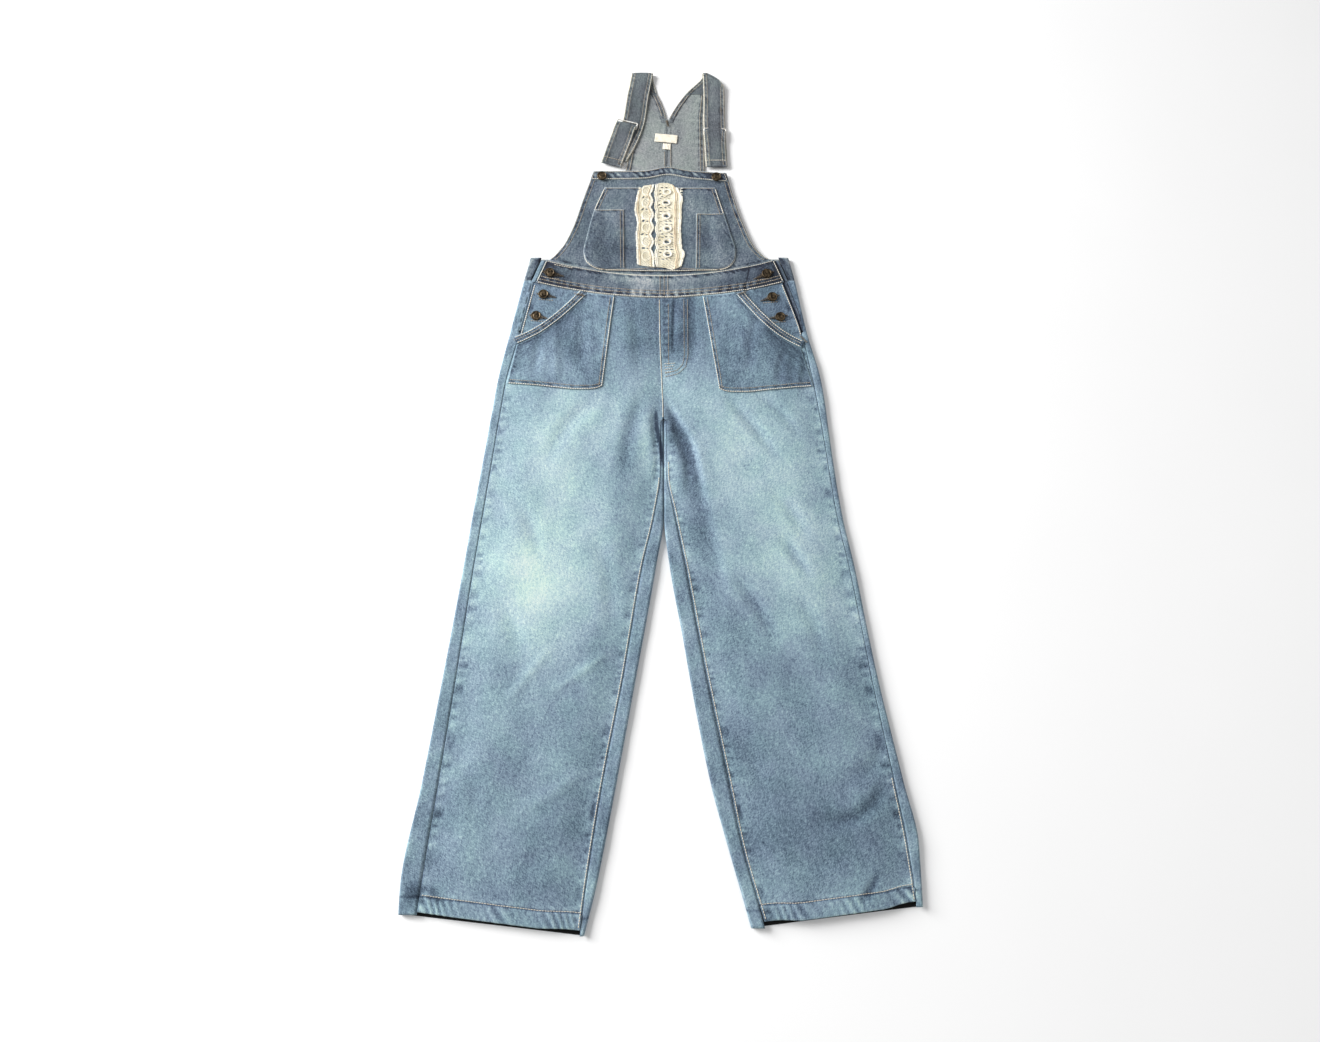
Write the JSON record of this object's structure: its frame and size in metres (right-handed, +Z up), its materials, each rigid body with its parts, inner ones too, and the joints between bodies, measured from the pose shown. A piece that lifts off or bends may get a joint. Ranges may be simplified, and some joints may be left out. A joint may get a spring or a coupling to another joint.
{
  "type": "denim dungarees",
  "caption": "Light-wash denim dungarees laid flat front up, with wide legs, a bib with lace trims, patch pockets, side buttons and two straps folded forward.",
  "frame": {"origin": "centre of the garment's outline, on the surface that it lies on", "axes": "+Y up the garment from the hems to the straps, +X to the right as seen from above, +Z up out of the front"},
  "size_m": [0.7305, 1.4404, 0.0113],
  "materials": {
    "leg_denim": "washed twill, faded at the thighs",
    "bib_denim": "washed twill",
    "pocket_denim": "washed twill",
    "strap_denim": "washed twill, greyer",
    "inside_denim": "reverse of the twill",
    "lace": "cotton crochet",
    "label": "woven tape",
    "button_metal": "aged bronze",
    "slider_metal": "worn nickel"
  },
  "bodies": {
    "root": {"front_leg_left": "leg_denim", "back_leg_left": "leg_denim", "underlap_left": "bib_denim", "pocket_left": "pocket_denim", "pocket_band_left": "pocket_denim", "strap_left": "strap_denim", "strap_end_left": "strap_denim", "slider_left": "slider_metal", "front_leg_right": "leg_denim", "back_leg_right": "leg_denim", "underlap_right": "bib_denim", "pocket_right": "pocket_denim", "pocket_band_right": "pocket_denim", "strap_right": "strap_denim", "strap_end_right": "strap_denim", "slider_right": "slider_metal", "waistband_back": "leg_denim", "waistband_front": "bib_denim", "bib": "bib_denim", "bib_top_band": "bib_denim", "bib_pocket": "bib_denim", "bib_side_pocket_left": "bib_denim", "bib_side_pocket_right": "bib_denim", "lace_trim_left": "lace", "lace_trim_right": "lace", "back_bib_left": "inside_denim", "back_bib_right": "inside_denim", "button_bib_left": "button_metal", "button_bib_right": "button_metal", "button_side_left_1": "button_metal", "button_side_left_2": "button_metal", "button_side_left_3": "button_metal", "button_side_right_1": "button_metal", "button_side_right_2": "button_metal", "button_side_right_3": "button_metal", "neck_label": "label", "size_tab": "label"}
  },
  "joints": []
}
